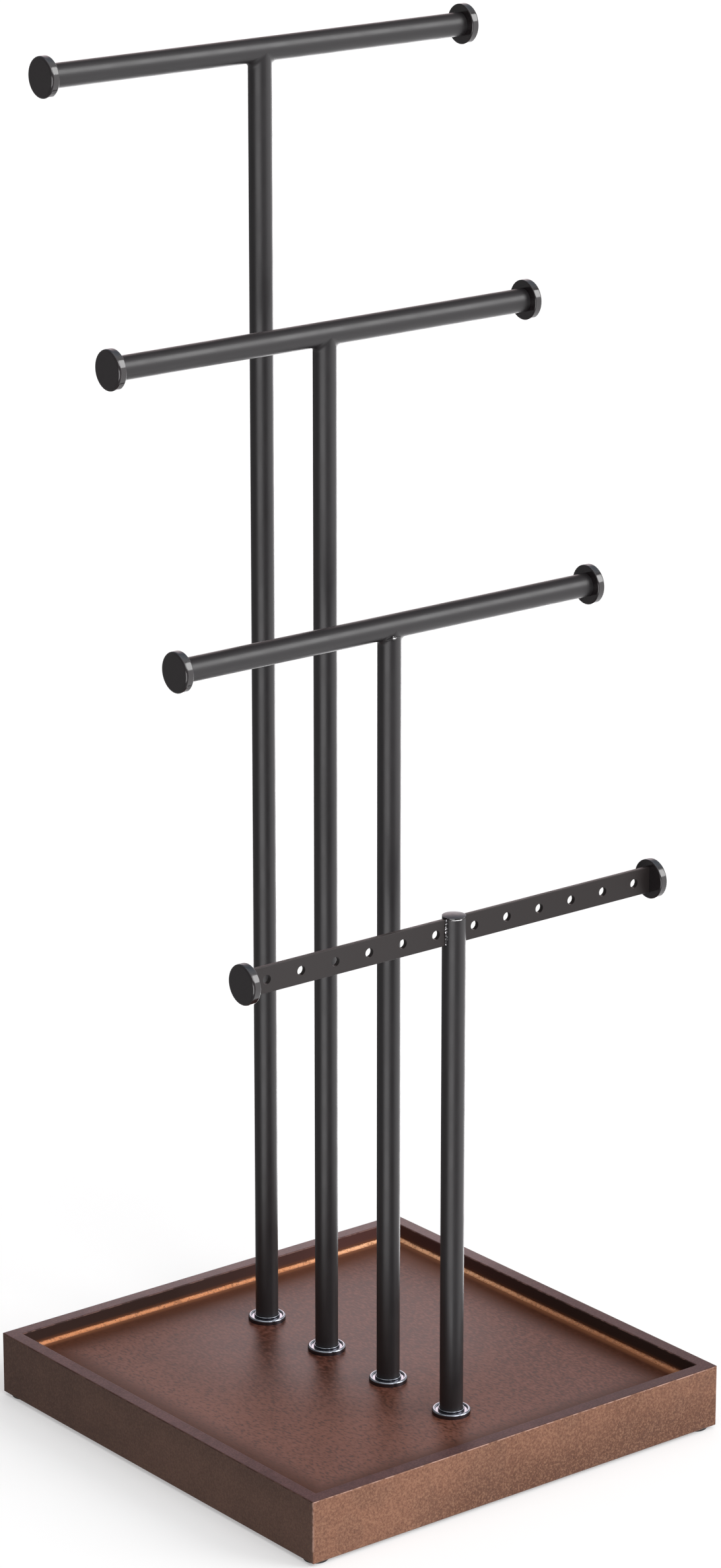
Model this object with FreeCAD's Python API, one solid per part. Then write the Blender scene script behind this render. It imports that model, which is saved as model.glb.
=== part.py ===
import FreeCAD, Part
import math
import os

# A four-tier jewellery stand: four T-shaped steel arms on a square wooden tray.
# Sizes are in millimetres. The origin is on the table, under the middle of the tray.
# +X runs along the crossbars, +Y towards the tallest arm at the back, +Z up.

V = FreeCAD.Vector
ALONG_X = V(1, 0, 0)
ALONG_Y = V(0, 1, 0)
UP = V(0, 0, 1)

# ---------------------------------------------------------------- driving sizes

# Tray: four mitred rails round a floor panel.
tray_side = 170.0            # outer width and depth over the rails
rail_height = 21.5
rim_width = 5.0              # rail's width above the floor panel
recess_depth = 5.5           # top of the rim down to the floor panel
ledge_width = 5.0            # step in the rail that carries the floor panel
panel_thickness = 9.0
panel_gap = 0.1              # floor panel to rail, on each side
panel_edge_radius = 0.6      # eased top edge of the floor panel
rim_edge_radius = 0.4        # eased top edges of the rails
foot_edge_radius = 0.8       # eased outer bottom edge of the rails
corner_radius = 0.6          # eased upright corners of the tray

# Rubber foot pads, one under each corner of the rails.
pad_diameter = 8.0
pad_thickness = 1.0
pad_edge_radius = 0.3

# Arms: round tube posts in one line from back to front.
post_diameter = 7.7
tube_wall = 0.9              # posts and crossbars
post_pitch = 33.0            # from each post to the next
bar_over_post = 0.1          # crossbar tube is wider than the post by this much
bar_length = 170.0           # over both end buttons
top_rise = 434.4             # floor panel up to the axis of the bar, for each arm
upper_rise = 348.4
middle_rise = 259.3
front_rise = 166.7
top_weld_radius = 2.4        # hollow of the weld bead in each T-joint
upper_weld_radius = 2.2
middle_weld_radius = 2.2
weld_room = 3.0              # post and bar beyond each other while a bead is made, in its radii

# Earring bar: a flat strip with a row of holes on each side of its post.
strip_height = 8.8
strip_thickness = 1.5
strip_edge_radius = 0.2
hole_diameter = 3.1
holes_per_side = 6
post_to_first_hole = 4.05    # side of the post to the centre of the nearest hole
hole_end_margin = 6.6        # centre of the last hole to the end button
slot_gap = 0.05              # strip to the slots that hold it, all round
strip_weld_radius = 0.95     # crest of the rough beads that hold the strip in the post
strip_weld_hollow = 0.2      # depth of the hollow between two crests
strip_weld_crests = 6

# Cap on the front post.
cap_rim_height = 0.5
cap_dome_height = 0.5
cap_edge_radius = 0.2

# End buttons on all the bars.
button_lip = 2.7             # button stands proud of a round bar by this much all round
button_thickness = 3.0
button_front_radius = 0.8
button_back_radius = 0.4
spigot_length = 8.0          # stem of a button inside a round bar
spigot_gap = 0.05            # stem to the bore of the bar, all round
button_slot_depth = 1.5      # seat for the end of the flat strip

# Collars round the feet of the posts.
collar_flange = 2.5          # collar's width from post to rim
collar_height = 1.6
collar_rim_width = 1.2
collar_rim_radius = 0.58
collar_lip_width = 0.45
collar_lip_over_rim = 0.35
collar_lip_radius = 0.2
collar_groove_depth = 0.5
collar_gap = 0.05            # collar to post, all round

# Screws from below, with a washer each, into a threaded bush in the foot of each post.
screw_diameter = 4.0
screw_engagement = 12.0      # thread inside the bush
screw_head_diameter = 8.0
screw_head_height = 2.4
screw_head_radius = 1.2
recess_width = 0.9           # cross recess in the head
recess_length = 4.2
recess_cut_depth = 1.4
washer_diameter = 10.0
washer_thickness = 0.8
hole_clearance = 0.25        # screw to washer and floor panel, all round
insert_length = 14.0
insert_gap = 0.02            # bush to the bore of the post, all round
thread_gap = 0.05            # screw to bush, all round
tip_chamfer = 0.5

# ---------------------------------------------------------------- derived places

half_tray = tray_side / 2
rail_bottom = pad_thickness
rim_top = rail_bottom + rail_height
floor_top = rim_top - recess_depth
floor_bottom = floor_top - panel_thickness
rail_foot_width = rim_width + ledge_width

post_radius = post_diameter / 2
post_bore_radius = post_radius - tube_wall
bar_radius = post_radius + bar_over_post / 2
bar_bore_radius = bar_radius - tube_wall
button_radius = bar_radius + button_lip
half_bar = bar_length / 2
button_seat = half_bar - button_thickness

# One row for each arm with a round crossbar, from back to front: name, rise of its bar, weld.
ROUND_ARMS = (
    ("top", top_rise, top_weld_radius),
    ("upper", upper_rise, upper_weld_radius),
    ("middle", middle_rise, middle_weld_radius),
)
FRONT_PLACE = len(ROUND_ARMS)
POST_COUNT = len(ROUND_ARMS) + 1
ARM_NAMES = tuple(arm[0] for arm in ROUND_ARMS) + ("front",)
SIDES = (("left", -1), ("right", 1))
closing_gap = 1e-6           # ends of two edges this near each other need no line between them


def post_y(place):
    """Y of a post, counted from the tallest one at the back."""
    return ((POST_COUNT - 1) / 2 - place) * post_pitch


POST_LINE = tuple(post_y(place) for place in range(POST_COUNT))
front_axis_z = floor_top + front_rise
strip_bottom = front_axis_z - strip_height / 2
strip_top = front_axis_z + strip_height / 2


# ---------------------------------------------------------------- shape helpers

def rounded_face(corners, place):
    """Flat face with rounded corners. Each corner is (a, b, radius); place(a, b) gives its point."""
    edges = []
    spans = []
    count = len(corners)
    for i, (a, b, radius) in enumerate(corners):
        here = V(a, b, 0)
        if radius <= 0:
            spans.append((here, None, here))
            continue
        back = V(*corners[i - 1][:2], 0) - here
        ahead = V(*corners[(i + 1) % count][:2], 0) - here
        back.normalize()
        ahead.normalize()
        half_angle = back.getAngle(ahead) / 2
        reach = radius / math.tan(half_angle)
        bisector = (back + ahead).normalize()
        crown = here + bisector * (radius / math.sin(half_angle) - radius)
        spans.append((here + back * reach, crown, here + ahead * reach))
    for i, (start, crown, end) in enumerate(spans):
        if crown is not None:
            points = [place(p.x, p.y) for p in (start, crown, end)]
            edges.append(Part.Arc(*points).toShape())
        following = spans[(i + 1) % count][0]
        if (following - end).Length > closing_gap:
            edges.append(Part.makeLine(place(end.x, end.y), place(following.x, following.y)))
    return Part.Face(Part.Wire(Part.__sortEdges__(edges)))


def turned(corners):
    """Solid turned about Z from a half section of (radius, height, corner radius)."""
    section = rounded_face(corners, lambda r, z: V(r, 0, z))
    return section.revolve(V(0, 0, 0), UP, 360)


def block(low, high):
    """Box between two opposite corners."""
    size = high - low
    return Part.makeBox(size.x, size.y, size.z, low)


def tube(outer, bore, length, start, axis):
    """Round tube, or a ring when it is short."""
    return Part.makeCylinder(outer, length, start, axis).cut(
        Part.makeCylinder(bore, length, start, axis)
    )


def at(shape, x, y, z):
    """Copy of a shape moved from the origin to a place."""
    moved = shape.copy()
    moved.translate(V(x, y, z))
    return moved


# ---------------------------------------------------------------- tray

def make_front_rail():
    """Rail along the front: rim above, rebate and ledge inside, mitred at both ends."""
    section = (
        (0, rail_bottom, foot_edge_radius),
        (0, rim_top, rim_edge_radius),
        (rim_width, rim_top, rim_edge_radius),
        (rim_width, floor_bottom, 0),
        (rail_foot_width, floor_bottom, 0),
        (rail_foot_width, rail_bottom, 0),
    )
    face = rounded_face(section, lambda inward, z: V(-half_tray, inward - half_tray, z))
    moulding = face.extrude(V(tray_side, 0, 0))
    mitre = Part.Face(Part.makePolygon([
        V(0, 0, 0),
        V(-half_tray, -half_tray, 0),
        V(half_tray, -half_tray, 0),
        V(0, 0, 0),
    ])).extrude(V(0, 0, rim_top))
    return moulding.common(mitre)


def add_rails(parts):
    """The four rails are the front one turned round the middle of the tray."""
    column = block(V(-half_tray, -half_tray, rail_bottom), V(half_tray, half_tray, rim_top))
    uprights = [edge for edge in column.Edges if edge.BoundBox.ZLength > rail_height / 2]
    column = column.makeFillet(corner_radius, uprights)
    front_rail = make_front_rail()
    for quarter, name in enumerate(("front_rail", "right_rail", "back_rail", "left_rail")):
        rail = front_rail.copy()
        rail.rotate(V(0, 0, 0), UP, 90 * quarter)
        parts[name] = rail.common(column)


def add_floor_panel(parts):
    """Panel let in between the rails, on their ledges, drilled for the post screws."""
    reach = half_tray - rim_width - panel_gap
    panel = block(V(-reach, -reach, floor_bottom), V(reach, reach, floor_top))
    middle_z = (floor_bottom + floor_top) / 2
    top_edges = [edge for edge in panel.Edges if edge.BoundBox.ZMin > middle_z]
    panel = panel.makeFillet(panel_edge_radius, top_edges)
    for y in POST_LINE:
        drill = Part.makeCylinder(
            screw_diameter / 2 + hole_clearance, panel_thickness, V(0, y, floor_bottom), UP
        )
        panel = panel.cut(drill)
    parts["floor_panel"] = panel


def add_foot_pads(parts):
    """A pad in the middle of each mitred corner of the rails."""
    radius = pad_diameter / 2
    pad = turned((
        (0, 0, 0),
        (radius, 0, pad_edge_radius),
        (radius, pad_thickness, 0),
        (0, pad_thickness, 0),
    ))
    inset = half_tray - rail_foot_width / 2
    for depth_name, y in (("front", -inset), ("back", inset)):
        for side_name, side in SIDES:
            parts[f"{depth_name}_{side_name}_foot_pad"] = at(pad, side * inset, y, 0)


# ---------------------------------------------------------------- arms

def make_end_button():
    """Turned disc, its back at the origin and its flat face towards +Z."""
    return turned((
        (0, 0, 0),
        (button_radius, 0, button_back_radius),
        (button_radius, button_thickness, button_front_radius),
        (0, button_thickness, 0),
    ))


def face_outwards(shape, side):
    """Turns a shape made along +Z so that it points along X, to the given side."""
    turned_shape = shape.copy()
    turned_shape.rotate(V(0, 0, 0), ALONG_Y, 90 * side)
    return turned_shape


def add_end_buttons(parts, arm_name, y, z, button):
    """A button on each end of a bar."""
    for side_name, side in SIDES:
        placed = at(face_outwards(button, side), side * button_seat, y, z)
        parts[f"{arm_name}_{side_name}_end_button"] = placed


def make_weld(weld_radius):
    """Bead in the corner between a post and the crossbar above it, with the bar's axis at Z 0.

    The seam is where the two tubes cross: its edges lie above the bar's underside, below the
    bar's axis and within the post, give or take a small margin.
    """
    reach = bar_radius + weld_room * weld_radius
    margin = bar_over_post / 4
    post = Part.makeCylinder(post_radius, reach, V(0, 0, -reach), UP)
    bar = Part.makeCylinder(bar_radius, 2 * reach, V(-reach, 0, 0), ALONG_X)
    joint = post.fuse(bar).removeSplitter()
    seam = [
        edge for edge in joint.Edges
        if edge.BoundBox.ZMin > -bar_radius - margin
        and edge.BoundBox.ZMax < margin
        and edge.BoundBox.XMax < post_radius + margin
    ]
    return joint.makeFillet(weld_radius, seam).cut(joint)


def add_round_arms(parts):
    """Coped tube posts, each with a round tube welded across its top."""
    spigot_radius = bar_bore_radius - spigot_gap
    spigot = Part.makeCylinder(spigot_radius, spigot_length, V(0, 0, -spigot_length), UP)
    button = make_end_button().fuse(spigot).removeSplitter()
    for place, (name, rise, weld_radius) in enumerate(ROUND_ARMS):
        y = post_y(place)
        axis_z = floor_top + rise
        bar_start = V(-button_seat, y, axis_z)
        bar_outline = Part.makeCylinder(bar_radius, 2 * button_seat, bar_start, ALONG_X)
        post = tube(post_radius, post_bore_radius, rise, V(0, y, floor_top), UP)
        parts[f"{name}_post"] = post.cut(bar_outline)
        parts[f"{name}_crossbar"] = tube(
            bar_radius, bar_bore_radius, 2 * button_seat, bar_start, ALONG_X
        )
        parts[f"{name}_weld"] = at(make_weld(weld_radius), 0, y, axis_z)
        add_end_buttons(parts, name, y, axis_z, button)


def strip_hole_centres():
    """X of the strip's holes: evenly spaced on each side of the post."""
    first = post_radius + post_to_first_hole
    last = button_seat - hole_end_margin
    pitch = (last - first) / (holes_per_side - 1)
    offsets = [first + pitch * i for i in range(holes_per_side)]
    return [side * offset for side in (-1, 1) for offset in offsets]


def add_earring_bar(parts):
    """Flat strip through the slotted post, its ends let into slots in the end buttons."""
    y = post_y(FRONT_PLACE)
    half_thickness = strip_thickness / 2
    reach = button_seat + button_slot_depth - slot_gap
    strip = block(
        V(-reach, y - half_thickness, strip_bottom), V(reach, y + half_thickness, strip_top)
    )
    long_edges = [edge for edge in strip.Edges if edge.BoundBox.XLength > reach]
    strip = strip.makeFillet(strip_edge_radius, long_edges)
    for x in strip_hole_centres():
        punch = Part.makeCylinder(
            hole_diameter / 2, strip_thickness, V(x, y - half_thickness, front_axis_z), ALONG_Y
        )
        strip = strip.cut(punch)
    parts["earring_bar"] = strip

    slot = block(
        V(-strip_height / 2 - slot_gap, -half_thickness - slot_gap, 0),
        V(strip_height / 2 + slot_gap, half_thickness + slot_gap, button_slot_depth),
    )
    add_end_buttons(parts, "front", y, front_axis_z, make_end_button().cut(slot))


def add_front_post(parts):
    """Tube slotted across its top for the strip, and closed by a domed cap."""
    y = post_y(FRONT_PLACE)
    post = tube(post_radius, post_bore_radius, strip_top - floor_top, V(0, y, floor_top), UP)
    slot_half = strip_thickness / 2 + slot_gap
    slot = block(
        V(-post_radius, y - slot_half, strip_bottom - slot_gap),
        V(post_radius, y + slot_half, strip_top),
    )
    parts["front_post"] = post.cut(slot)

    dome_radius = (post_radius ** 2 + cap_dome_height ** 2) / (2 * cap_dome_height)
    disc = turned((
        (0, 0, 0),
        (post_radius, 0, cap_edge_radius),
        (post_radius, cap_rim_height + cap_dome_height, cap_edge_radius),
        (0, cap_rim_height + cap_dome_height, 0),
    ))
    dome = Part.makeSphere(dome_radius, V(0, 0, cap_rim_height + cap_dome_height - dome_radius))
    parts["post_cap"] = at(disc.common(dome), 0, y, strip_top)


def add_strip_welds(parts):
    """Four rough upright beads in the corners between the strip and the slotted post."""
    crest_pitch = strip_height / strip_weld_crests
    waist_radius = strip_weld_radius - strip_weld_hollow
    edges = [Part.makeLine(V(0, 0, 0), V(waist_radius, 0, 0))]
    for i in range(strip_weld_crests):
        low = V(waist_radius, 0, crest_pitch * i)
        crest = V(strip_weld_radius, 0, crest_pitch * (i + 0.5))
        high = V(waist_radius, 0, crest_pitch * (i + 1))
        edges.append(Part.Arc(low, crest, high).toShape())
    edges.append(Part.makeLine(V(waist_radius, 0, strip_height), V(0, 0, strip_height)))
    edges.append(Part.makeLine(V(0, 0, strip_height), V(0, 0, 0)))
    bead = Part.Face(Part.Wire(edges)).revolve(V(0, 0, 0), UP, 360)

    half_thickness = strip_thickness / 2
    corner_x = math.sqrt(post_radius ** 2 - half_thickness ** 2)
    post_core = Part.makeCylinder(post_radius, strip_height)
    strip_side = block(
        V(-half_bar, -half_bar, 0), V(half_bar, half_thickness, strip_height)
    )
    bead = at(bead, corner_x, half_thickness, 0).cut(strip_side).cut(post_core)
    pair = [bead, bead.mirror(V(0, 0, 0), ALONG_X)]
    beads = pair + [one.mirror(V(0, 0, 0), ALONG_Y) for one in pair]
    parts["earring_bar_welds"] = at(Part.makeCompound(beads), 0, post_y(FRONT_PLACE), strip_bottom)


# ---------------------------------------------------------------- feet of the posts

def add_collars(parts):
    """Ring round the foot of each post: a round rim, a sunk groove and a thin lip at the post."""
    inner = post_radius + collar_gap
    outer = post_radius + collar_flange
    groove_z = collar_height - collar_groove_depth
    lip_top = collar_height + collar_lip_over_rim
    collar = turned((
        (inner, 0, 0),
        (outer, 0, 0),
        (outer, collar_height, collar_rim_radius),
        (outer - collar_rim_width, collar_height, collar_rim_radius),
        (outer - collar_rim_width, groove_z, 0),
        (inner + collar_lip_width, groove_z, 0),
        (inner + collar_lip_width, lip_top, collar_lip_radius),
        (inner, lip_top, collar_lip_radius),
    ))
    for name, y in zip(ARM_NAMES, POST_LINE):
        parts[f"{name}_collar"] = at(collar, 0, y, floor_top)


def add_fasteners(parts):
    """Bushes, screws and washers: one of each for every post."""
    insert = tube(
        post_bore_radius - insert_gap, screw_diameter / 2 + thread_gap,
        insert_length, V(0, 0, floor_top), UP,
    )

    washer_bottom = floor_bottom - washer_thickness
    washer = tube(
        washer_diameter / 2, screw_diameter / 2 + hole_clearance,
        washer_thickness, V(0, 0, washer_bottom), UP,
    )

    head_bottom = washer_bottom - screw_head_height
    tip = floor_top + screw_engagement
    shank_radius = screw_diameter / 2
    screw = turned((
        (0, head_bottom, 0),
        (screw_head_diameter / 2, head_bottom, screw_head_radius),
        (screw_head_diameter / 2, washer_bottom, 0),
        (shank_radius, washer_bottom, 0),
        (shank_radius, tip - tip_chamfer, 0),
        (shank_radius - tip_chamfer, tip, 0),
        (0, tip, 0),
    ))
    for half_x, half_y in ((recess_length / 2, recess_width / 2),
                           (recess_width / 2, recess_length / 2)):
        screw = screw.cut(block(
            V(-half_x, -half_y, head_bottom), V(half_x, half_y, head_bottom + recess_cut_depth)
        ))

    for name, shape in (("foot_inserts", insert), ("post_screws", screw), ("screw_washers", washer)):
        parts[name] = Part.makeCompound([at(shape, 0, y, 0) for y in POST_LINE])


# ---------------------------------------------------------------- assembly

def build():
    """Every sub-part by name."""
    parts = {}
    add_rails(parts)
    add_floor_panel(parts)
    add_foot_pads(parts)
    add_round_arms(parts)
    add_front_post(parts)
    add_earring_bar(parts)
    add_strip_welds(parts)
    add_collars(parts)
    add_fasteners(parts)
    return parts


os.makedirs("parts", exist_ok=True)
for node, shape in build().items():
    shape.exportStep(f"parts/{node}.step")
    print(f"{node}: {len(shape.Solids)} solid(s), {shape.Volume:.1f} mm3, valid {shape.isValid()}")
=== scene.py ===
import math

import bpy
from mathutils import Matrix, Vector, noise


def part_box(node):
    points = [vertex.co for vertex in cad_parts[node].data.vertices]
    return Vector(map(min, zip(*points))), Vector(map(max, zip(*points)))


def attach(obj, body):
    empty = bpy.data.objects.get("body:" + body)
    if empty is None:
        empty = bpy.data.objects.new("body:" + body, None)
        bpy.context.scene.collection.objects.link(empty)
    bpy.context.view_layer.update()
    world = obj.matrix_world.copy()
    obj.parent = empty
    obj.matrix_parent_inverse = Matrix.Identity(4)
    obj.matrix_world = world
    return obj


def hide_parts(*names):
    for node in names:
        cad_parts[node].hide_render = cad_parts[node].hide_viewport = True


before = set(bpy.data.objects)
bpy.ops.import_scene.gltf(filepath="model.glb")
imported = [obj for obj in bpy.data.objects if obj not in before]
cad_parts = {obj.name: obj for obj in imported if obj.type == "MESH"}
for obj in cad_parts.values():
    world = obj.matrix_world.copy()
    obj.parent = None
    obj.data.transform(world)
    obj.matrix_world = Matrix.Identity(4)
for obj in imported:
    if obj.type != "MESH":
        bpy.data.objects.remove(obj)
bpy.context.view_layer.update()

# Looks of a four-tier jewellery stand: satin black tube arms on a stained fibreboard tray.
# Lengths are in metres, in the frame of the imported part. Angles are in degrees.

MM = 0.001
UP = Vector((0.0, 0.0, 1.0))

# ---------------------------------------------------------------- camera

VIEW_AZIMUTH = -38.44        # 0 looks along +Y
VIEW_ELEVATION = 17.33
VIEW_DISTANCE = 1.68131
VIEW_TARGET = Vector((0.00141, 0.0, 0.21981))
LENS = 260.06
SENSOR_WIDTH = 36.0
FARTHEST_SEEN = 100.0


def direction(azimuth, elevation):
    """Unit vector from the object towards a place in the studio."""
    a = math.radians(azimuth)
    e = math.radians(elevation)
    return Vector((math.sin(a) * math.cos(e), -math.cos(a) * math.cos(e), math.sin(e)))


def facing(towards):
    """Rotation of a camera or lamp that looks at the object from the given direction."""
    return towards.to_track_quat("Z", "Y").to_euler()


def add_camera():
    """Long lens from the photograph's viewing angle."""
    data = bpy.data.cameras.new("camera")
    data.lens = LENS
    data.sensor_width = SENSOR_WIDTH
    data.sensor_fit = "HORIZONTAL"
    data.clip_end = FARTHEST_SEEN
    camera = bpy.data.objects.new("camera", data)
    towards = direction(VIEW_AZIMUTH, VIEW_ELEVATION)
    camera.location = VIEW_TARGET + towards * VIEW_DISTANCE
    camera.rotation_euler = facing(towards)
    bpy.context.scene.collection.objects.link(camera)
    bpy.context.scene.camera = camera


# ---------------------------------------------------------------- node helpers

NOISE_LOW, NOISE_HIGH = 0.3, 0.7     # most values of a noise lie between these


def paint(red, green, blue):
    """Opaque colour, in linear light."""
    return (red, green, blue, 1.0)


class Nodes:
    """Short ways to add nodes to a node tree and link them."""

    def __init__(self, tree):
        self.tree = tree
        tree.nodes.clear()

    def add(self, kind, **settings):
        """A new node of that kind, with its settings."""
        node = self.tree.nodes.new(kind)
        for name, value in settings.items():
            setattr(node, name, value)
        return node

    def put(self, socket, value):
        """Links a node's output to a socket, or sets the socket to a plain value."""
        if isinstance(value, bpy.types.NodeSocket):
            self.tree.links.new(value, socket)
        else:
            socket.default_value = value

    def set(self, node, **inputs):
        """Sets or links a node's inputs, whose names are given with _ for each blank."""
        for name, value in inputs.items():
            self.put(node.inputs[name.replace("_", " ")], value)

    def math(self, operation, *values, clamp=False):
        """Result of a sum of plain values and outputs; clamp keeps it from 0 to 1."""
        node = self.add("ShaderNodeMath", operation=operation, use_clamp=clamp)
        for socket, value in zip(node.inputs, values):
            self.put(socket, value)
        return node.outputs[0]

    def plus(self, first, second):
        return self.math("ADD", first, second)

    def minus(self, first, second, clamp=False):
        return self.math("SUBTRACT", first, second, clamp=clamp)

    def times(self, first, second, clamp=False):
        return self.math("MULTIPLY", first, second, clamp=clamp)

    def absolute(self, value):
        return self.math("ABSOLUTE", value)

    def vector_math(self, operation, *values):
        node = self.add("ShaderNodeVectorMath", operation=operation)
        for socket, value in zip(node.inputs, values):
            self.put(socket, value)
        return node.outputs["Value" if operation in ("DOT_PRODUCT", "LENGTH") else "Vector"]

    def ramp(self, value, start, end, low=0.0, high=1.0):
        """Smooth step from low at start to high at end."""
        node = self.add("ShaderNodeMapRange", interpolation_type="SMOOTHSTEP")
        self.set(node, Value=value, From_Min=start, From_Max=end, To_Min=low, To_Max=high)
        return node.outputs["Result"]

    def between(self, share, low, high):
        """Smooth step from low where the share is 0 to high where it is 1."""
        return self.ramp(share, 0.0, 1.0, low, high)

    def spread(self, noise_value, low, high):
        """Noise spread over the values from low to high."""
        return self.ramp(noise_value, NOISE_LOW, NOISE_HIGH, low, high)

    def mix(self, share, first, second):
        """Mixes two colours."""
        node = self.add("ShaderNodeMix", data_type="RGBA", blend_type="MIX")
        for name, value in (("Factor_Float", share), ("A_Color", first), ("B_Color", second)):
            socket = next(s for s in node.inputs if s.identifier == name)
            self.put(socket, value)
        return next(s for s in node.outputs if s.identifier == "Result_Color")

    def split(self, vector):
        """The x, y and z of a vector."""
        node = self.add("ShaderNodeSeparateXYZ")
        self.put(node.inputs[0], vector)
        return node.outputs

    def place(self):
        """Place of the point on the object, in metres."""
        return self.add("ShaderNodeTexCoord").outputs["Object"]

    def normal(self):
        """The surface's outward direction, as x, y and z."""
        return self.split(self.add("ShaderNodeNewGeometry").outputs["Normal"])

    def noise(self, place, period, detail=2.0, distortion=0.0):
        """Soft noise from 0 to 1 whose lumps are about one period apart."""
        node = self.add("ShaderNodeTexNoise")
        self.set(node, Vector=place, Scale=1.0 / period, Detail=detail, Distortion=distortion)
        return node.outputs["Fac"]

    def bump(self, shader, height, depth):
        """Relief in the shader: height from 0 to 1 stands for the given depth."""
        node = self.add("ShaderNodeBump")
        self.set(node, Height=height, Distance=depth)
        self.set(shader, Normal=node.outputs["Normal"])


def finish_material(name, build):
    """A material whose node tree is made by build(nodes, shader)."""
    material = bpy.data.materials.new(name)
    material.use_nodes = True
    n = Nodes(material.node_tree)
    shader = n.add("ShaderNodeBsdfPrincipled")
    output = n.add("ShaderNodeOutputMaterial")
    n.set(output, Surface=shader.outputs[0])
    build(n, shader)
    return material


# ---------------------------------------------------------------- studio

# Softboxes far enough away to light everything evenly: azimuth and elevation as seen from the
# object, the angle that the box takes up, and its power.
SOFTBOXES = {
    "key_softbox": (42.0, 30.0, 34.0, 1.6),
    "top_softbox": (20.0, 80.0, 70.0, 0.8),
    "front_softbox": (-4.0, 40.0, 30.0, 0.9),
}

# Pale cards and walls of the studio, which the gloss mirrors: azimuth and elevation of the middle,
# half width, half height, softness of the edge, brightness and colour.
ROOM_COLOUR = (1.0, 0.99, 1.0)
WARM_WALL = (1.0, 0.78, 0.80)
CARDS = (
    (88.0, -26.0, 58.0, 34.0, 14.0, 1.0, ROOM_COLOUR),     # table and wall on the right
    (-57.0, -16.0, 21.0, 14.0, 8.0, 2.8, ROOM_COLOUR),     # card left of the camera
    (122.0, -20.0, 14.0, 12.0, 12.0, 3.0, ROOM_COLOUR),    # low card behind on the right
    (142.5, 19.0, 4.0, 7.0, 9.0, 2.05, WARM_WALL),         # wall straight behind the object
)

# The rest of the room: its brightness, and how much of it is lost towards its dark side.
ROOM_BRIGHTNESS = 0.42
ROOM_DARKENING = 0.18
DARK_SIDE = direction(VIEW_AZIMUTH - 110.0, -10.0)     # on the left, as the camera sees it
DARK_SIDE_START, DARK_SIDE_END = -0.2, 0.5             # cosines of the angle to it

FLOOR_HALF = 30.0
FLOOR_COLOUR = paint(0.62, 0.62, 0.62)
FLOOR_GLOW = 0.36


def add_softboxes():
    """The lamps that light the object and throw its faint shadow."""
    for name, (azimuth, elevation, angle, power) in SOFTBOXES.items():
        light = bpy.data.lights.new(name, "SUN")
        light.energy = power
        light.angle = math.radians(angle)
        box = bpy.data.objects.new(name, light)
        box.rotation_euler = facing(direction(azimuth, elevation))
        bpy.context.scene.collection.objects.link(box)


def card_light(n, ray, card):
    """Light of one card, by the direction of a ray from the object."""
    azimuth, elevation, half_width, half_height, softness, brightness, colour = card
    ahead = n.vector_math("DOT_PRODUCT", ray, direction(azimuth, 0.0))
    aside = n.vector_math("DOT_PRODUCT", ray, direction(azimuth + 90.0, 0.0))
    lift = n.math("ARCSINE", n.vector_math("DOT_PRODUCT", ray, direction(0.0, 90.0)))
    turn = n.absolute(n.math("ARCTAN2", aside, ahead))
    rise = n.absolute(n.minus(lift, math.radians(elevation)))
    edges = []
    for angle, half in ((turn, half_width), (rise, half_height)):
        edges.append(n.ramp(angle, math.radians(half), math.radians(half + softness), 1.0, 0.0))
    light = n.times(n.times(*edges), brightness)
    return n.vector_math("MULTIPLY", light, colour)


def add_room():
    """The room beyond the softboxes: pale, and darker towards the left."""
    world = bpy.data.worlds.new("room")
    world.use_nodes = True
    n = Nodes(world.node_tree)
    ray = n.add("ShaderNodeTexCoord").outputs["Generated"]
    leftness = n.vector_math("DOT_PRODUCT", ray, DARK_SIDE)
    darkness = n.ramp(leftness, DARK_SIDE_START, DARK_SIDE_END)
    brightness = n.minus(ROOM_BRIGHTNESS, n.times(darkness, ROOM_DARKENING))
    light = n.vector_math("MULTIPLY", brightness, ROOM_COLOUR)
    for card in CARDS:
        light = n.vector_math("ADD", light, card_light(n, ray, card))
    background = n.add("ShaderNodeBackground")
    n.set(background, Color=light)
    output = n.add("ShaderNodeOutputWorld")
    n.set(output, Surface=background.outputs[0])
    bpy.context.scene.world = world


def pale_floor(n, shader):
    """Matt and pale, with a glow of its own that softens the shadow."""
    n.set(shader, Base_Color=FLOOR_COLOUR, Roughness=0.9, Specular_IOR_Level=0.0,
          Emission_Color=paint(1.0, 1.0, 1.0), Emission_Strength=FLOOR_GLOW)


def add_floor():
    """Plain pale table, which isn't mirrored in the object's gloss."""
    mesh = bpy.data.meshes.new("floor")
    corners = [(x * FLOOR_HALF, y * FLOOR_HALF, 0) for x, y in ((-1, -1), (1, -1), (1, 1), (-1, 1))]
    mesh.from_pydata(corners, [], [(0, 1, 2, 3)])
    mesh.materials.append(finish_material("pale_floor", pale_floor))
    floor = bpy.data.objects.new("floor", mesh)
    bpy.context.scene.collection.objects.link(floor)
    floor.visible_glossy = False


# ---------------------------------------------------------------- sizes

# Tray: the top of the floor panel, and the inner face of the rails, from the middle.
PANEL_GAP = 0.1 * MM         # panel to rail
PANEL_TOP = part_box("floor_panel")[1].z
RAIL_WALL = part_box("floor_panel")[1].x + PANEL_GAP

# Rough bead of stain-starved fibres in the corner between the floor panel and the rails.
BEAD_WIDTH = 1.9 * MM
BEAD_HEIGHT = 0.85 * MM
BEAD_HOLLOW = 1.2            # above 1, its face is hollow
BEAD_FOOT = 0.25 * MM        # the bead goes this far below the panel's surface
BEAD_STEP = 0.3 * MM
BEAD_SPANS = 12              # from one point of its face to the next, across it
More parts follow.
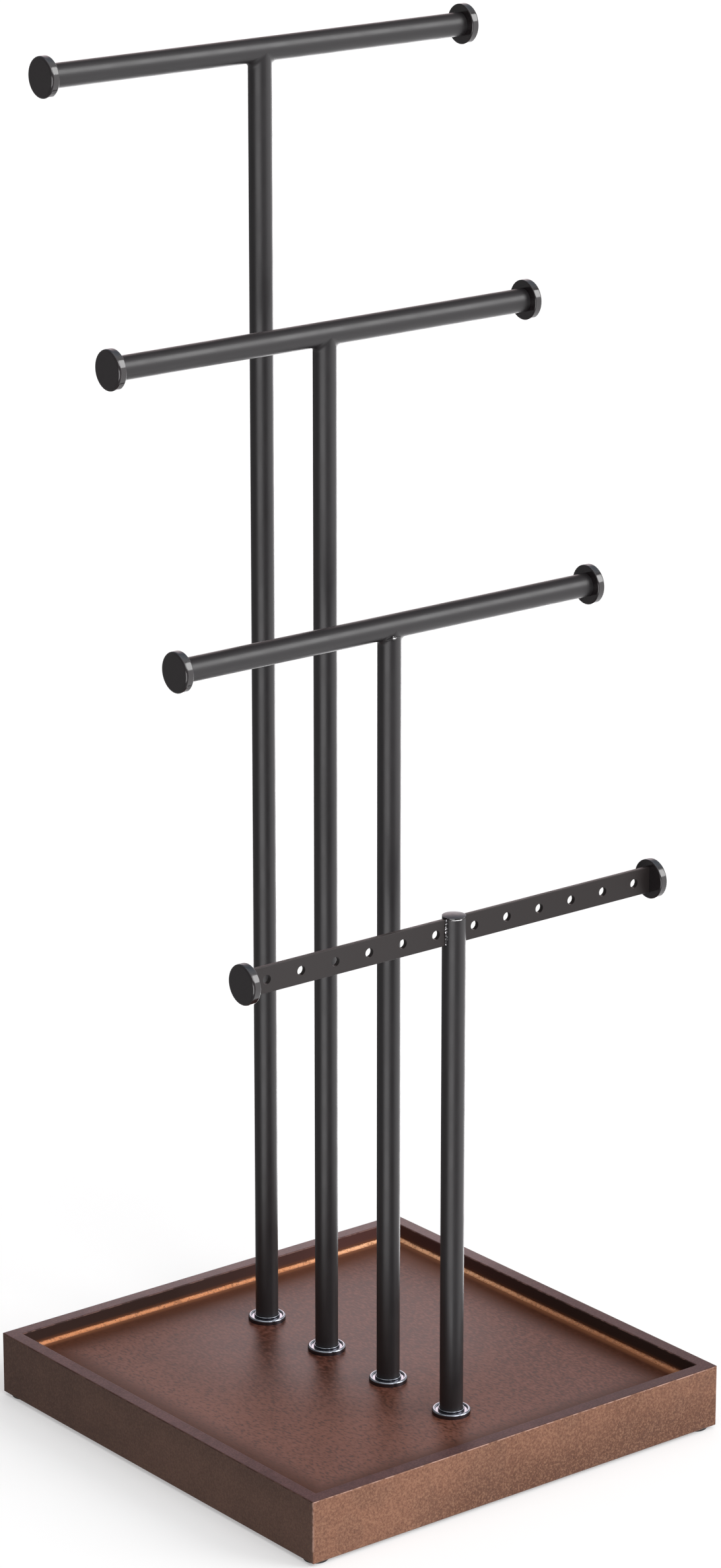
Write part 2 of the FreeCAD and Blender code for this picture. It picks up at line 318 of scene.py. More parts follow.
# Unevenness: share of the height, or height, then period and seed.
BEAD_SWELLS = ((0.22, 11 * MM, 3.1), (0.2, 2.6 * MM, 7.7))
BEAD_LUMPS = ((0.14 * MM, 0.8 * MM, 1.3), (0.10 * MM, 0.4 * MM, 5.9))

# Beads that hold the flat strip in the front post.
STRIP_WELD_RADIUS = {"left": 0.6 * MM, "right": 0.35 * MM}
STRIP_WELD_STEP = 0.15 * MM
STRIP_WELD_SIDES = 14
STRIP_WELD_BLUNTNESS = 0.04  # each end starts this far into the half wave that rounds it

# Uneven ridge round the middle weld.
RIDGE_STEPS = 150
RIDGE_SIDES = 12
RIDGE_THICKNESS = 0.24 * MM
RIDGE_DROP = 0.98            # below the crossbar's axis at the sides, in its radii
RIDGE_LIFT = 0.30            # so much higher at the front and back

# Pit in the middle weld, with a drop of bright metal in it.
PIT_AZIMUTH = -17.0
PIT_DROP = 2.8 * MM          # below the axis of the crossbar
PIT_PROUD = 0.12 * MM        # in front of the post
PIT_RADIUS = 0.55 * MM
PIT_WIDENING = 1.25          # width to height
PIT_COLLAR = 0.2 * MM
PIT_STEPS = 28
PIT_SIDES = 10
METAL_DROP_HEIGHT = 0.3 * MM
METAL_DROP_REACH = 0.8       # of the pit's radius, then stretched across and pressed flat
METAL_DROP_WIDENING, METAL_DROP_FLATTENING = 1.2, 0.7
METAL_DROP_RINGS = 6
METAL_DROP_SIDES = 20

# Sliver of bare metal on the front post's top edge, under the cap: partly paint gone from the edge,
# partly a painted highlight.
BARE_LIT_EDGE_AZIMUTH = -24.0
BARE_LIT_EDGE_SPAN = 62.0
BARE_LIT_EDGE_DEPTH = 0.04 * MM  # of its middle line, below the post's face
BARE_LIT_EDGE_DROP = 0.07 * MM   # below the top of the post
BARE_LIT_EDGE_THICKNESS = 0.15 * MM
BARE_LIT_EDGE_STEPS = 40
BARE_LIT_EDGE_SIDES = 8


# ---------------------------------------------------------------- colours

SATIN_DARK = paint(0.0155, 0.0140, 0.0152)
SATIN_PALE = paint(0.0205, 0.0185, 0.0198)
STRIP_DARK = paint(0.0192, 0.0150, 0.0150)
STRIP_PALE = paint(0.0228, 0.0182, 0.0178)
ENAMEL_SIDE = paint(0.012, 0.009, 0.010)
# The bluer top colour of the enamel is a painted sheen.
ENAMEL_TOP_SHEEN = paint(0.008, 0.013, 0.022)
CRUST_PAINT = paint(0.012, 0.010, 0.011)
CRUST_METAL = paint(0.75, 0.74, 0.76)
DROP_DARK = paint(0.85, 0.85, 0.86)
DROP_PALE = paint(0.95, 0.95, 0.96)
# Black nickel: the top colour is a painted reflection, the side colour a painted shade.
NICKEL_SHADED_SIDE = paint(0.110, 0.105, 0.120)
NICKEL_LIT_TOP = paint(0.420, 0.450, 0.505)
ZINC = paint(0.62, 0.62, 0.64)
RUBBER_DARK = paint(0.012, 0.012, 0.012)
RUBBER_PALE = paint(0.03, 0.03, 0.03)
LACQUER_TINT = paint(1.0, 0.80, 0.82)
RIM_DARK = paint(0.046, 0.017, 0.018)
RIM_PALE = paint(0.074, 0.031, 0.032)
# Pale edge lines of the rims and faces: partly wear, partly a painted highlight.
RIM_EDGE = paint(0.170, 0.095, 0.080)
SIDE_DARK = paint(0.072, 0.041, 0.031)
SIDE_PALE = paint(0.116, 0.064, 0.046)
SIDE_EDGE = paint(0.045, 0.022, 0.017)
FRONT_DARK = paint(0.112, 0.049, 0.029)
FRONT_PALE = paint(0.215, 0.101, 0.062)
FRONT_GAP = paint(0.055, 0.024, 0.015)
FRONT_SPECK = paint(0.420, 0.240, 0.145)
FRONT_GREY = paint(0.130, 0.064, 0.042)
FRONT_EDGE = paint(0.420, 0.260, 0.205)
INNER_WALL = paint(0.037, 0.020, 0.016)
INNER_PALE = paint(0.078, 0.032, 0.028)
PANEL_DARK = paint(0.055, 0.0150, 0.0070)
PANEL_PALE = paint(0.080, 0.0230, 0.0115)
PANEL_FIBRE = paint(0.160, 0.066, 0.048)
PANEL_WORN = paint(0.130, 0.044, 0.024)
PANEL_PORE = paint(0.030, 0.010, 0.005)
PANEL_SHADE = paint(0.048, 0.0140, 0.0052)
PANEL_SHADE_PALE = paint(0.094, 0.0300, 0.0125)
PANEL_BORDER = paint(0.220, 0.085, 0.040)
BEAD_LOW = paint(0.150, 0.056, 0.025)
BEAD_MIDDLE = paint(0.700, 0.265, 0.105)
# Bead colours: the paler one is partly wear and partly painted light, the ridge colour partly a
# painted highlight.
BEAD_WORN_AND_LIT = paint(0.920, 0.450, 0.230)
BEAD_TUFT_HIGHLIGHT = paint(0.920, 0.580, 0.350)
BEAD_PORE = paint(0.070, 0.024, 0.012)


# ---------------------------------------------------------------- metal and rubber

STRIP_HALF = 85 * MM                 # half the length of the flat strip
SATIN_SHEEN = 0.5
STRIP_SHEEN = (0.36, 0.22)           # at the strip's left and right end
UPWARD_SHEEN = 0.12                  # where the coat faces up


def powder_coat(n, shader, dark, pale, sheen):
    """Charcoal powder coat: fine orange peel and faint cloudiness, duller where it faces up."""
    place = n.place()
    facing_up = n.normal()[2]
    cloud = n.noise(place, 9 * MM)
    peel = n.noise(place, 0.45 * MM)
    n.set(shader, Base_Color=n.mix(cloud, dark, pale),
          Roughness=n.spread(cloud, 0.36, 0.42),
          Specular_IOR_Level=n.ramp(facing_up, 0.55, 0.95, sheen, UPWARD_SHEEN))
    n.bump(shader, peel, 0.012 * MM)


def satin_black(n, shader):
    """The coat on the posts and crossbars."""
    powder_coat(n, shader, SATIN_DARK, SATIN_PALE, SATIN_SHEEN)


def satin_strip(n, shader):
    """The coat on the flat strip: warmer, and thinner and duller towards the right."""
    sheen = n.ramp(n.split(n.place())[0], -STRIP_HALF, STRIP_HALF, *STRIP_SHEEN)
    powder_coat(n, shader, STRIP_DARK, STRIP_PALE, sheen)


def gloss_black(n, shader):
    """Glossy black enamel with faint orange peel, duller where it faces up, and bluer there as a
    painted sheen.
    """
    peel = n.noise(n.place(), 0.8 * MM)
    upper = n.ramp(n.normal()[2], 0.6, 0.95)
    haze = n.ramp(peel, 0.35, 0.7, 0.12, 0.18)
    # The bluer colour on top is a painted sheen.
    n.set(shader, Base_Color=n.mix(upper, ENAMEL_SIDE, ENAMEL_TOP_SHEEN),
          Roughness=n.plus(haze, n.times(upper, 0.25)), Specular_IOR_Level=0.8)
    n.bump(shader, peel, 0.004 * MM)


def weld_crust(n, shader):
    """Thin glossy paint over a rough weld, with specks of bare metal."""
    grain = n.noise(n.place(), 0.5 * MM)
    bare = n.ramp(grain, 0.58, 0.64)
    n.set(shader, Base_Color=n.mix(bare, CRUST_PAINT, CRUST_METAL), Metallic=bare,
          Roughness=n.ramp(grain, 0.4, 0.66, 0.45, 0.15))
    n.bump(shader, grain, 0.08 * MM)


def bright_metal(n, shader):
    """Polished drop of weld metal."""
    haze = n.noise(n.place(), 0.4 * MM)
    n.set(shader, Base_Color=n.mix(haze, DROP_DARK, DROP_PALE), Metallic=1.0,
          Roughness=n.spread(haze, 0.08, 0.16))


def black_nickel(n, shader):
    """Black nickel plating, paler where it faces up and darker on its sides: a painted reflection
    of the pale room above and the dark tray below.
    """
    haze = n.noise(n.place(), 1.5 * MM)
    # Painted reflection: paler where the plating faces up, darker on its sides.
    bright = n.ramp(n.plus(n.normal()[2], n.times(haze, 0.3)), 0.35, 1.0)
    n.set(shader, Base_Color=n.mix(bright, NICKEL_SHADED_SIDE, NICKEL_LIT_TOP), Metallic=1.0,
          Roughness=n.spread(haze, 0.18, 0.26))


def zinc_steel(n, shader):
    """Scuffed zinc plating of the bushes, screws and washers."""
    scuff = n.noise(n.place(), 0.7 * MM)
    n.set(shader, Base_Color=ZINC, Metallic=1.0, Roughness=n.spread(scuff, 0.25, 0.4))


def black_rubber(n, shader):
    """Matt, slightly dusty rubber of the foot pads."""
    dust = n.noise(n.place(), 1.2 * MM)
    n.set(shader, Base_Color=n.mix(dust, RUBBER_DARK, RUBBER_PALE), Roughness=0.75)
    n.bump(shader, dust, 0.03 * MM)


# ---------------------------------------------------------------- tray

# A rail's face is known by how far its plane lies from the middle of the tray, measured outwards:
# about 85 mm for an outer face, 0 for the rim and -80 mm for an inner wall.
FACE_START, FACE_END = 20 * MM, 60 * MM
WALL_FOOT_LOW, WALL_FOOT_HIGH = 0.6 * MM, 2.0 * MM     # where the bead's stain fades on the wall

# How much of the pale specks and of the dark gaps between the fibres shows on each face.
RIM_SPECKS, SIDE_SPECKS, FRONT_SPECKS = 0.08, 0.07, 0.3
RIM_GAPS, SIDE_GAPS, FRONT_GAPS = 0.4, 0.3, 0.45

# Dullness and sheen of the lacquer. The pairs are for the front and for the back right.
RIM_DULLNESS = (0.5, 0.38)
RIM_SHEEN, RIM_SHEEN_GAIN = 0.22, 0.12
UPRIGHT_DULLNESS, UPRIGHT_SHEEN = 0.6, 0.25
PANEL_SHEEN = 0.5
BORDER_SHEEN = (0.15, 0.4)

PANEL_GRAIN = Vector((1.0, 0.45, 1.0))     # the panel's fibres are about twice as long along Y
POLISH_MIDDLE = Vector((15 * MM, 30 * MM, PANEL_TOP))     # where the panel is best polished
POLISH_RADIUS, WORN_RADIUS = 20 * MM, 90 * MM
PANEL_DULLNESS = (0.43, 0.54)              # where it is best polished and where it is worn

# Borders of the panel, by distance from the rails: where each starts and where it is full.
SHADE_BORDER = (18 * MM, 8 * MM)           # painted shade: darker near the rails
SHEEN_BORDER = (15 * MM, 5 * MM)           # less sheen
PALE_BORDER = (4.5 * MM, BEAD_WIDTH)       # paler stain, up to the bead

# Bands of the bead, by height above the panel.
BEAD_FOOT_BAND = (0.05 * MM, 0.44 * MM)    # the dark foot ends
BEAD_TOP_BAND = (0.75 * MM, 1.0 * MM)      # the dark upper edge starts
BEAD_RIDGE, BEAD_RIDGE_HALF = 0.6 * MM, 0.22 * MM


def towards_back(n, x, y):
    """From 0 at the front of the tray to 1 at its back right, where the painted shade near the
    rails is paler and the lacquer glossier."""
    return n.ramp(n.plus(y, n.times(x, 0.4)), 10 * MM, 100 * MM)


def rail_side(n, y, z, cloud, speck, dark_gap):
    """Colour of the smooth outer faces at the left and right: darker towards the back, which is
    painted shade, and darker towards the top.
    """
    # Darkening towards the back is painted shade, laid over the board's own cloudy tone.
    stain_and_shade = n.minus(cloud, n.ramp(y, -20 * MM, 85 * MM, -0.2, 0.4), clamp=True)
    side = n.mix(stain_and_shade, SIDE_DARK, SIDE_PALE)
    side = n.mix(n.ramp(z, 13 * MM, 22 * MM, 0.0, 0.5), side, SIDE_DARK)
    side = n.mix(n.times(speck, SIDE_SPECKS), side, FRONT_SPECK)
    return n.mix(n.times(dark_gap, SIDE_GAPS), side, FRONT_GAP)


def rail_front(n, place, x, z, speck, dark_gap):
    """Colour of the open-fibred outer faces at the front and back: paler at the left, and paler
    towards the top and darker towards the bottom, which is painted shade.
    """
    drift = n.noise(place, 60 * MM)
    patch = n.noise(place, 10 * MM, detail=1.0)
    paleness = n.plus(n.times(drift, 0.8), n.ramp(x, 20 * MM, -70 * MM, 0.0, 0.45))
    # Painted shade: darker towards the bottom, paler towards the top.
    paleness = n.plus(paleness, n.ramp(z, 0.0, 21 * MM, -0.12, 0.26))
    front = n.mix(n.ramp(paleness, 0.25, 0.9), FRONT_DARK, FRONT_PALE)
    front = n.mix(n.ramp(patch, 0.45, 0.7, 0.0, 0.35), front, FRONT_GREY)
    front = n.mix(n.times(dark_gap, FRONT_GAPS), front, FRONT_GAP)
    return n.mix(n.times(speck, FRONT_SPECKS), front, FRONT_SPECK)


def rail_rim(n, place, x, y, cloud, speck, dark_gap):
    """Colour of the mottled tops of the rails: darker in the right front corner, a painted shade
    for the weaker sheen there.
    """
    mottle = n.noise(place, 3 * MM)
    rim = n.mix(n.ramp(n.plus(cloud, mottle), 0.7, 1.3), RIM_DARK, RIM_PALE)
    # Painted shade in the right front corner, where the rims catch less sheen.
    rim = n.mix(n.ramp(n.minus(x, y), 70 * MM, 150 * MM, 0.0, 0.7), rim, RIM_DARK)
    rim = n.mix(n.times(speck, RIM_SPECKS), rim, FRONT_SPECK)
    return n.mix(n.times(dark_gap, RIM_GAPS), rim, INNER_WALL)


def rail_wall(n, x, y, z):
    """Colour of the inner walls: paler in the right back corner, and orange just above the bead."""
    back_right_share = n.ramp(n.plus(x, y), 60 * MM, 150 * MM)
    wall = n.mix(back_right_share, INNER_WALL, INNER_PALE)
    above_panel = n.minus(z, PANEL_TOP)
    foot = n.ramp(above_panel, WALL_FOOT_HIGH, WALL_FOOT_LOW, 0.0, 0.85)
    return n.mix(foot, wall, BEAD_LOW)


def stained_rail(n, shader):
    """Stained fibreboard rails: violet-brown rims, deep brown inner walls, dark smooth sides, and
    paler, open-fibred faces at the front and back. Edges are paler at the front, back and rims,
    partly from wear and partly as a painted highlight, and darker at the left and right."""
    place = n.place()
    x, y, z = n.split(place)
    normal_x, normal_y, normal_z = n.normal()
    outward = n.plus(n.times(normal_x, x), n.times(normal_y, y))
    outer = n.ramp(outward, FACE_START, FACE_END)
    inner = n.ramp(outward, -FACE_START, -FACE_END)
    end_face = n.ramp(n.absolute(normal_y), 0.5, 0.8)
    top_edge = n.ramp(n.times(normal_z, n.minus(1.0, normal_z)), 0.08, 0.22)
    corner_edge = n.ramp(n.absolute(n.times(normal_x, normal_y)), 0.1, 0.4)

    cloud = n.noise(place, 14 * MM)
    fibre = n.noise(place, 0.3 * MM, detail=3.0)
    clump = n.noise(place, 0.75 * MM)
    grain = n.plus(n.times(fibre, 0.45), n.times(clump, 0.55))
    speck = n.ramp(grain, 0.48, 0.62)
    dark_gap = n.ramp(grain, 0.49, 0.36)
    rubbed_and_lit = n.ramp(n.noise(place, 3 * MM, detail=4.0), 0.42, 0.58, 0.1, 1.0)

    side = rail_side(n, y, z, cloud, speck, dark_gap)
    front = rail_front(n, place, x, z, speck, dark_gap)
    rim = rail_rim(n, place, x, y, cloud, speck, dark_gap)
    colour = n.mix(outer, rim, n.mix(end_face, side, front))
    colour = n.mix(inner, colour, rail_wall(n, x, y, z))
    # Edge lines: the pale ones are partly wear and partly a painted highlight.
    outer_edge = n.mix(end_face, SIDE_EDGE, FRONT_EDGE)
    edge = n.mix(n.ramp(outward, 0.0, FACE_START), RIM_EDGE, outer_edge)
    colour = n.mix(n.times(top_edge, rubbed_and_lit), colour, edge)
    colour = n.mix(n.times(n.times(corner_edge, rubbed_and_lit), 0.6), colour, FRONT_EDGE)

    upright = n.plus(outer, inner)
    back = towards_back(n, x, y)
    rim_sheen = n.plus(RIM_SHEEN, n.times(back, RIM_SHEEN_GAIN))
    n.set(shader, Base_Color=colour,
          Roughness=n.between(upright, n.between(back, *RIM_DULLNESS), UPRIGHT_DULLNESS),
          Specular_IOR_Level=n.between(upright, rim_sheen, UPRIGHT_SHEEN),
          Specular_Tint=LACQUER_TINT)
    open_fibre = n.between(n.times(outer, end_face), 0.12, 1.0)
    n.bump(shader, n.times(fibre, open_fibre), 0.09 * MM)


def stained_panel(n, shader):
    """Deep red-brown staining under a satin lacquer, through which short pale fibres show; darker
    near the rails, where their shade and dark reflection are painted.
    """
    place = n.place()
    x, y, _ = n.split(place)
    cloud = n.plus(n.times(n.noise(place, 24 * MM), 0.6), n.times(n.noise(place, 5 * MM), 0.4))
    fibre = n.noise(n.vector_math("MULTIPLY", place, PANEL_GRAIN), 0.8 * MM)
    away = n.vector_math("LENGTH", n.vector_math("SUBTRACT", place, POLISH_MIDDLE))
    # 0 at the best polished middle, rising to 1 where the lacquer is dull and pale.
    far_share = n.ramp(away, POLISH_RADIUS, WORN_RADIUS)
    from_middle = n.math("MAXIMUM", n.absolute(x), n.absolute(y))
    back = towards_back(n, x, y)

    def border(start, full, low, high):
        """Step from low to high as the distance to the rails falls from start to full."""
        return n.ramp(from_middle, RAIL_WALL - start, RAIL_WALL - full, low, high)

    paleness = n.times(far_share, n.ramp(x, 60 * MM, -40 * MM, 0.25, 1.0))
    paleness = n.times(paleness, n.spread(cloud, 0.7, 1.15), clamp=True)
    shade = n.mix(back, PANEL_SHADE, PANEL_SHADE_PALE)
    stain_and_shade = n.mix(n.ramp(cloud, 0.36, 0.64), PANEL_DARK, PANEL_PALE)
    stain_and_shade = n.mix(paleness, stain_and_shade, PANEL_WORN)
    stain_and_shade = n.mix(n.ramp(fibre, 0.45, 0.7, 0.0, 0.65), stain_and_shade, PANEL_FIBRE)
    stain_and_shade = n.mix(n.ramp(fibre, 0.5, 0.32, 0.0, 0.8), stain_and_shade, PANEL_PORE)
    # Painted shade near the rails, for their shade and their dark reflection in the lacquer.
    stain_and_shade = n.mix(border(*SHADE_BORDER, 0.0, 0.8), stain_and_shade, shade)
    stain_and_shade = n.mix(border(*PALE_BORDER, 0.0, 0.8), stain_and_shade, PANEL_BORDER)

    border_sheen = n.between(back, *BORDER_SHEEN)
    dullness = n.between(far_share, *PANEL_DULLNESS)
    n.set(shader, Base_Color=stain_and_shade,
          Roughness=n.plus(dullness, n.spread(fibre, -0.015, 0.015)),
          Specular_IOR_Level=border(*SHEEN_BORDER, PANEL_SHEEN, border_sheen),
          Specular_Tint=LACQUER_TINT)
    n.bump(shader, n.noise(place, 2 * MM, detail=0.0), 0.008 * MM)


def raw_fibre(n, shader):
    """Rough, barely stained fibres: orange with pores and a pale ridge of tufts that is partly a
    painted highlight; paler towards the back right corner, partly from wear and partly painted
    light; darker towards the front, as painted shade; and darker where they run into the panel
    and the rails."""
    place = n.place()
    x, y, z = n.split(place)
    fibre = n.noise(place, 0.4 * MM, detail=3.0, distortion=0.5)
    stand = n.plus(n.minus(z, PANEL_TOP), n.times(fibre, 0.35 * MM))
    # Paler towards the back right corner: partly wear, partly painted light.
    far_share = n.ramp(n.plus(x, n.times(y, 0.5)), 60 * MM, 115 * MM)
    face = n.mix(far_share, BEAD_MIDDLE, BEAD_WORN_AND_LIT)
    # Painted shade: darker towards the front.
    face = n.mix(n.ramp(y, 60 * MM, -20 * MM, 0.0, 0.5), face, BEAD_LOW)
    colour = n.mix(n.ramp(stand, *BEAD_FOOT_BAND), BEAD_LOW, face)
    colour = n.mix(n.ramp(stand, *BEAD_TOP_BAND), colour, BEAD_LOW)
    # The pale ridge is partly tufts of fibre and partly a painted highlight.
    off_ridge = n.absolute(n.minus(stand, BEAD_RIDGE))
    tuft = n.ramp(n.noise(place, 0.5 * MM), 0.35, 0.65, 0.0, n.between(far_share, 0.3, 0.85))
    ridge = n.times(n.ramp(off_ridge, BEAD_RIDGE_HALF, 0.0), tuft)
    colour = n.mix(ridge, colour, BEAD_TUFT_HIGHLIGHT)
    colour = n.mix(n.ramp(n.noise(place, 1.3 * MM), 0.5, 0.3, 0.0, 0.45), colour, BEAD_LOW)
    colour = n.mix(n.ramp(n.noise(place, 0.5 * MM), 0.36, 0.28), colour, BEAD_PORE)
    n.set(shader, Base_Color=colour, Roughness=0.5)
    n.bump(shader, fibre, 0.08 * MM)


FINISHES = {
    "satin_black_metal": satin_black,
    "satin_strip": satin_strip,
    "gloss_black_metal": gloss_black,
    "black_nickel": black_nickel,
    "stained_rail": stained_rail,
    "stained_panel": stained_panel,
    "zinc_steel": zinc_steel,
    "black_rubber": black_rubber,
    "raw_fibre": raw_fibre,
    "weld_crust": weld_crust,
    "bright_metal": bright_metal,
}

# Nodes whose finish differs a little from the rest of their slot.
OWN_FINISHES = {"earring_bar": "satin_strip"}


def dress_nodes(materials):
    """Every CAD node gets the detailed material of its own slot, or its own one."""
    for name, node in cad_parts.items():
        slots = node.data.materials
        for i, old in enumerate(slots):
            slots[i] = materials[OWN_FINISHES.get(name, old.name)]


# ---------------------------------------------------------------- pieces

def add_piece(name, points, faces, material):
    """A smooth mesh that belongs to the object."""
    mesh = bpy.data.meshes.new(name)
    mesh.from_pydata(points, [], faces)
    mesh.shade_smooth()
    mesh.materials.append(material)
    piece = bpy.data.objects.new(name, mesh)
    bpy.context.scene.collection.objects.link(piece)
    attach(piece, "root")
    return piece


def wander(place, period, seed):
    """Smooth noise from -1 to 1 that changes over about one period."""
    return noise.noise(place / period + Vector((seed, 0.0, 0.0)))


def uneven(base, place, layers):
    """The base plus layers of noise, each given by its size, period and seed."""
    return sum((size * wander(place, period, seed) for size, period, seed in layers), base)


def turns(count):
    """Evenly spaced angles round a full turn, in radians."""
    return [2 * math.pi * i / count for i in range(count)]


def level(turn):
    """Level unit vector at an angle from +X."""
    return Vector((math.cos(turn), math.sin(turn), 0))


def grid_faces(rows, sides, closed):
    """Quads between rows of points that each go round; closed joins the last row to the first."""
    faces = []
    for i in range(rows if closed else rows - 1):
        ahead = (i + 1) % rows
        for j in range(sides):
            turn = (j + 1) % sides
            faces.append((i * sides + j, ahead * sides + j, ahead * sides + turn, i * sides + turn))
    return faces


def add_tube(name, path, ring, material, closed):
    """Lumpy tube through the points of a path; ring(i, point) gives the points round each."""
    points = []
    for i, point in enumerate(path):
        points += ring(i, point)
    faces = grid_faces(len(path), len(points) // len(path), closed)
    return add_piece(name, points, faces, material)


def add_corner_bead(material):
    """Rough bead all round the corner between the floor panel and the rails."""
    rows = 4 * round(2 * RAIL_WALL / BEAD_STEP)
    low = PANEL_TOP - BEAD_FOOT
    points = []
    for i in range(rows):
        side, along = divmod(i / rows * 4, 1.0)
        quarter = math.radians(-90 * side)
        run = -RAIL_WALL + 2 * RAIL_WALL * along
        row = []
        for j in range(BEAD_SPANS + 1):
            share = j / BEAD_SPANS
            reach = BEAD_WIDTH * share
            height = BEAD_HEIGHT * (1 - share) ** BEAD_HOLLOW
            # the run is shortened by the reach, so that the corners are mitred
            x = run * (RAIL_WALL - reach) / RAIL_WALL
            y = RAIL_WALL - reach
            spot = Vector((x * math.cos(quarter) - y * math.sin(quarter),
                           x * math.sin(quarter) + y * math.cos(quarter), 0.0))
            swell = uneven(1, spot, BEAD_SWELLS)
            lump = uneven(0, spot + Vector((0, 0, height)), BEAD_LUMPS)
            spot.z = low + (BEAD_FOOT + height) * swell + lump * (1 - share)
            row.append(spot)
        row[-1].z = low
        foot = Vector((row[0].x, row[0].y, low))
        points += row + [foot]
    faces = grid_faces(rows, BEAD_SPANS + 2, closed=True)
    add_piece("tray_corner_bead", points, faces, material)


def add_strip_weld(name, corner, low_z, high_z, radius, seed, material):
    """Rough upright bead in the corner between the flat strip and the front post."""
    steps = round((high_z - low_z) / STRIP_WELD_STEP)
    path = [corner + Vector((0, 0, low_z + (high_z - low_z) * i / steps)) for i in range(steps + 1)]
    layers = ((0.35, 0.9 * MM, seed), (0.2, 0.4 * MM, seed + 9))
    wave = 1 - 2 * STRIP_WELD_BLUNTNESS

    def ring(i, point):
        end = math.sin(math.pi * (STRIP_WELD_BLUNTNESS + wave * i / steps)) ** 0.25
        if i in (0, steps):
            end = 0.0
        points = []
        for turn in turns(STRIP_WELD_SIDES):
            out = level(turn)
            lump = uneven(1, point + out * radius, layers)
            points.append(point + out * radius * lump * end)
        return points

    return add_tube(name, path, ring, material, closed=False)


def front_post_place():
    """Middle, radius and top of the front post."""
    low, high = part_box("front_post")
    return (low + high) / 2, (high.x - low.x) / 2, high.z


def middle_crossbar_place():
    """Middle of the middle crossbar, which is above its post, and the radius of both."""
    low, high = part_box("middle_crossbar")
    return (low + high) / 2, (high.z - low.z) / 2


def add_strip_welds(material):
    """The four welds that hold the flat strip in the front post's slot."""
    strip_low, strip_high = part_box("earring_bar")
    axis, radius, _ = front_post_place()
    half = (strip_high.y - strip_low.y) / 2
    across = math.sqrt(radius ** 2 - half ** 2)
    for side, side_name in ((-1, "left"), (1, "right")):
        for depth, depth_name in ((-1, "front"), (1, "back")):
            corner = Vector((axis.x + side * across, axis.y + depth * half, 0))
            seed = side * 3.7 + depth * 1.9     # another one for each weld
            add_strip_weld(
                f"strip_weld_{side_name}_{depth_name}", corner, strip_low.z, strip_high.z,
                STRIP_WELD_RADIUS[side_name], seed, material
            )
    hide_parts("earring_bar_welds")


def add_middle_weld_bead(material):
    """Uneven ridge where the middle post runs into its crossbar: thin at the right, and higher at
    the front and back than at the sides."""
    centre, radius = middle_crossbar_place()
    angles = turns(RIDGE_STEPS)
    path = []
    for turn in angles:
        drop = RIDGE_DROP - RIDGE_LIFT * math.sin(turn) ** 2
        path.append(centre + Vector((
            radius * math.cos(turn), radius * math.sin(turn), -radius * drop
        )))

    def ring(i, point):
        outward = level(angles[i])
        points = []
        for roll in turns(RIDGE_SIDES):
            out = outward * math.cos(roll) + UP * math.sin(roll)
            thick = RIDGE_THICKNESS * (1 + 0.5 * wander(point, 1.5 * MM, 4.4)
                                       + 0.25 * wander(point + out * MM, 0.6 * MM, 8.1))
            # thin within about 50 degrees of +X
            thick *= 0.55 - 0.45 * math.tanh(4 * math.cos(angles[i]) - 2.4)
            points.append(point + out * thick)
        return points

    add_tube("middle_weld_bead", path, ring, material, closed=True)


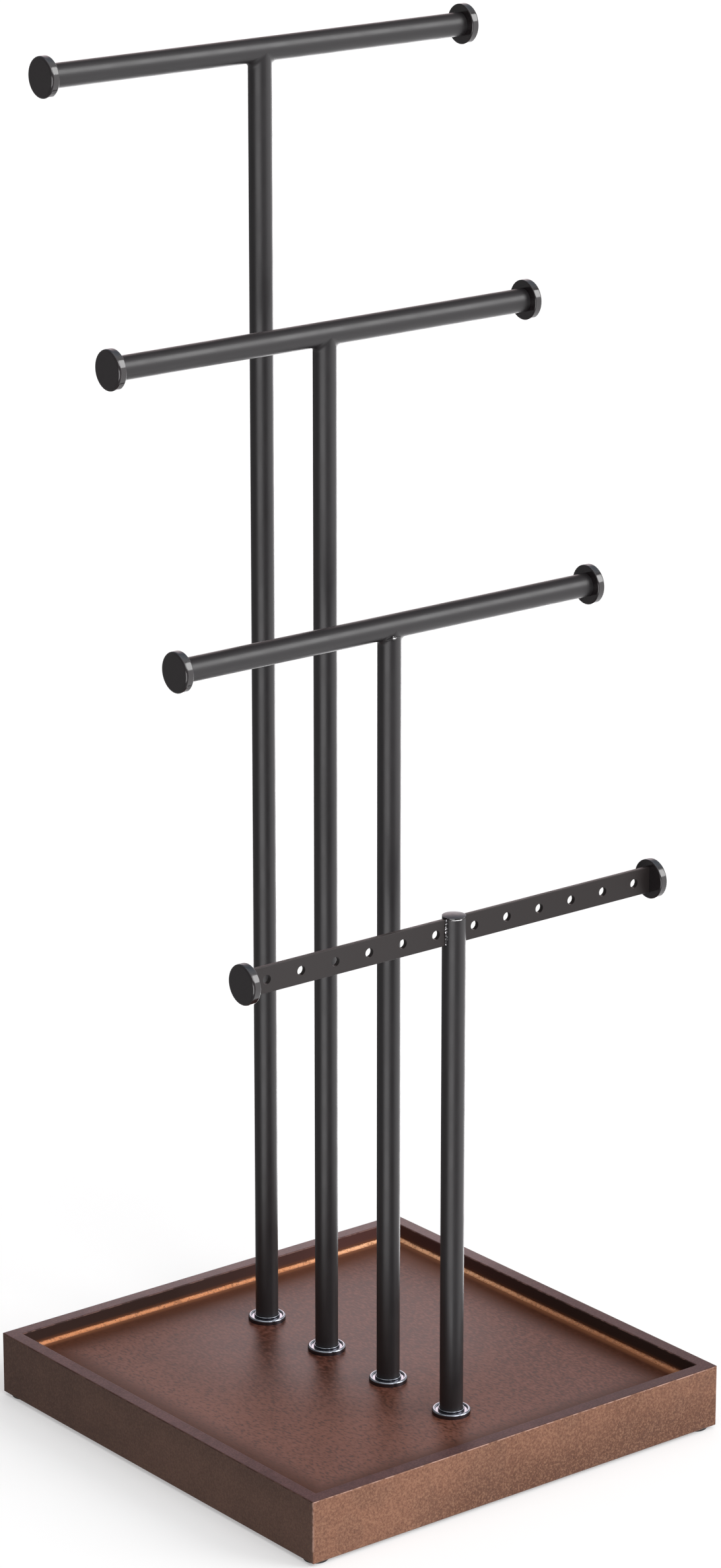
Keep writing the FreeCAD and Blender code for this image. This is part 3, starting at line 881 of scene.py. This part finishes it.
def add_weld_pit(crust, metal):
    """Unfilled pit in the middle weld: a dark collar of paint round a bright drop."""
    centre, radius = middle_crossbar_place()
    outward = direction(PIT_AZIMUTH, 0.0)
    aside = UP.cross(outward)
    middle = centre + outward * (radius + PIT_PROUD) - UP * PIT_DROP

    def on_post(across, up, out):
        return middle + aside * across + Vector((0, 0, up)) + outward * out

    path = [on_post(PIT_RADIUS * PIT_WIDENING * math.cos(turn), PIT_RADIUS * math.sin(turn), 0.0)
            for turn in turns(PIT_STEPS)]

    def ring(i, point):
        away = (point - middle).normalized()
        thick = PIT_COLLAR * (1 + 0.35 * wander(point, 0.5 * MM, 2.2))
        return [point + (away * math.cos(roll) + outward * math.sin(roll)) * thick
                for roll in turns(PIT_SIDES)]

    add_tube("middle_weld_pit", path, ring, crust, closed=True)

    points = [on_post(0, 0, METAL_DROP_HEIGHT)]
    for i in range(1, METAL_DROP_RINGS + 1):
        slope = math.pi / 2 * i / METAL_DROP_RINGS
        reach = METAL_DROP_REACH * PIT_RADIUS * math.sin(slope)
        for turn in turns(METAL_DROP_SIDES):
            around = Vector((math.cos(turn), math.sin(turn), slope))
            lump = 1 + 0.12 * wander(around, 0.7, 5.0)
            points.append(on_post(METAL_DROP_WIDENING * reach * lump * math.cos(turn),
                                  METAL_DROP_FLATTENING * reach * lump * math.sin(turn),
                                  METAL_DROP_HEIGHT * math.cos(slope)))
    faces = [(0, 1 + j, 1 + (j + 1) % METAL_DROP_SIDES) for j in range(METAL_DROP_SIDES)]
    for face in grid_faces(METAL_DROP_RINGS, METAL_DROP_SIDES, closed=False):
        faces.append(tuple(1 + corner for corner in face))
    add_piece("middle_weld_drop", points, faces, metal)


def add_bare_lit_edge(metal):
    """Sliver of bare metal on the front post's top edge: partly paint gone from it, partly a
    painted highlight.
    """
    axis, post_radius, top = front_post_place()
    radius = post_radius - BARE_LIT_EDGE_DEPTH
    path = []
    for i in range(BARE_LIT_EDGE_STEPS + 1):
        azimuth = BARE_LIT_EDGE_AZIMUTH + BARE_LIT_EDGE_SPAN * (i / BARE_LIT_EDGE_STEPS - 0.5)
        start = Vector((axis.x, axis.y, top - BARE_LIT_EDGE_DROP))
        path.append(start + direction(azimuth, 0.0) * radius)

    def ring(i, point):
        out = Vector((point.x - axis.x, point.y - axis.y, 0)).normalized()
        thick = BARE_LIT_EDGE_THICKNESS * math.sin(math.pi * i / BARE_LIT_EDGE_STEPS) ** 0.6
        thick *= 1 + 0.3 * wander(point, 0.8 * MM, 6.6)
        return [point + (out * math.cos(roll) + UP * math.sin(roll)) * thick
                for roll in turns(BARE_LIT_EDGE_SIDES)]

    add_tube("front_post_bare_lit_edge", path, ring, metal, closed=False)


# ---------------------------------------------------------------- scene

add_camera()
add_softboxes()
add_room()
add_floor()
materials = {name: finish_material("finish_" + name, build) for name, build in FINISHES.items()}
dress_nodes(materials)
add_corner_bead(materials["raw_fibre"])
add_strip_welds(materials["weld_crust"])
add_middle_weld_bead(materials["satin_black_metal"])
add_weld_pit(materials["weld_crust"], materials["bright_metal"])
add_bare_lit_edge(materials["bright_metal"])

bpy.context.scene.view_settings.view_transform = "Standard"
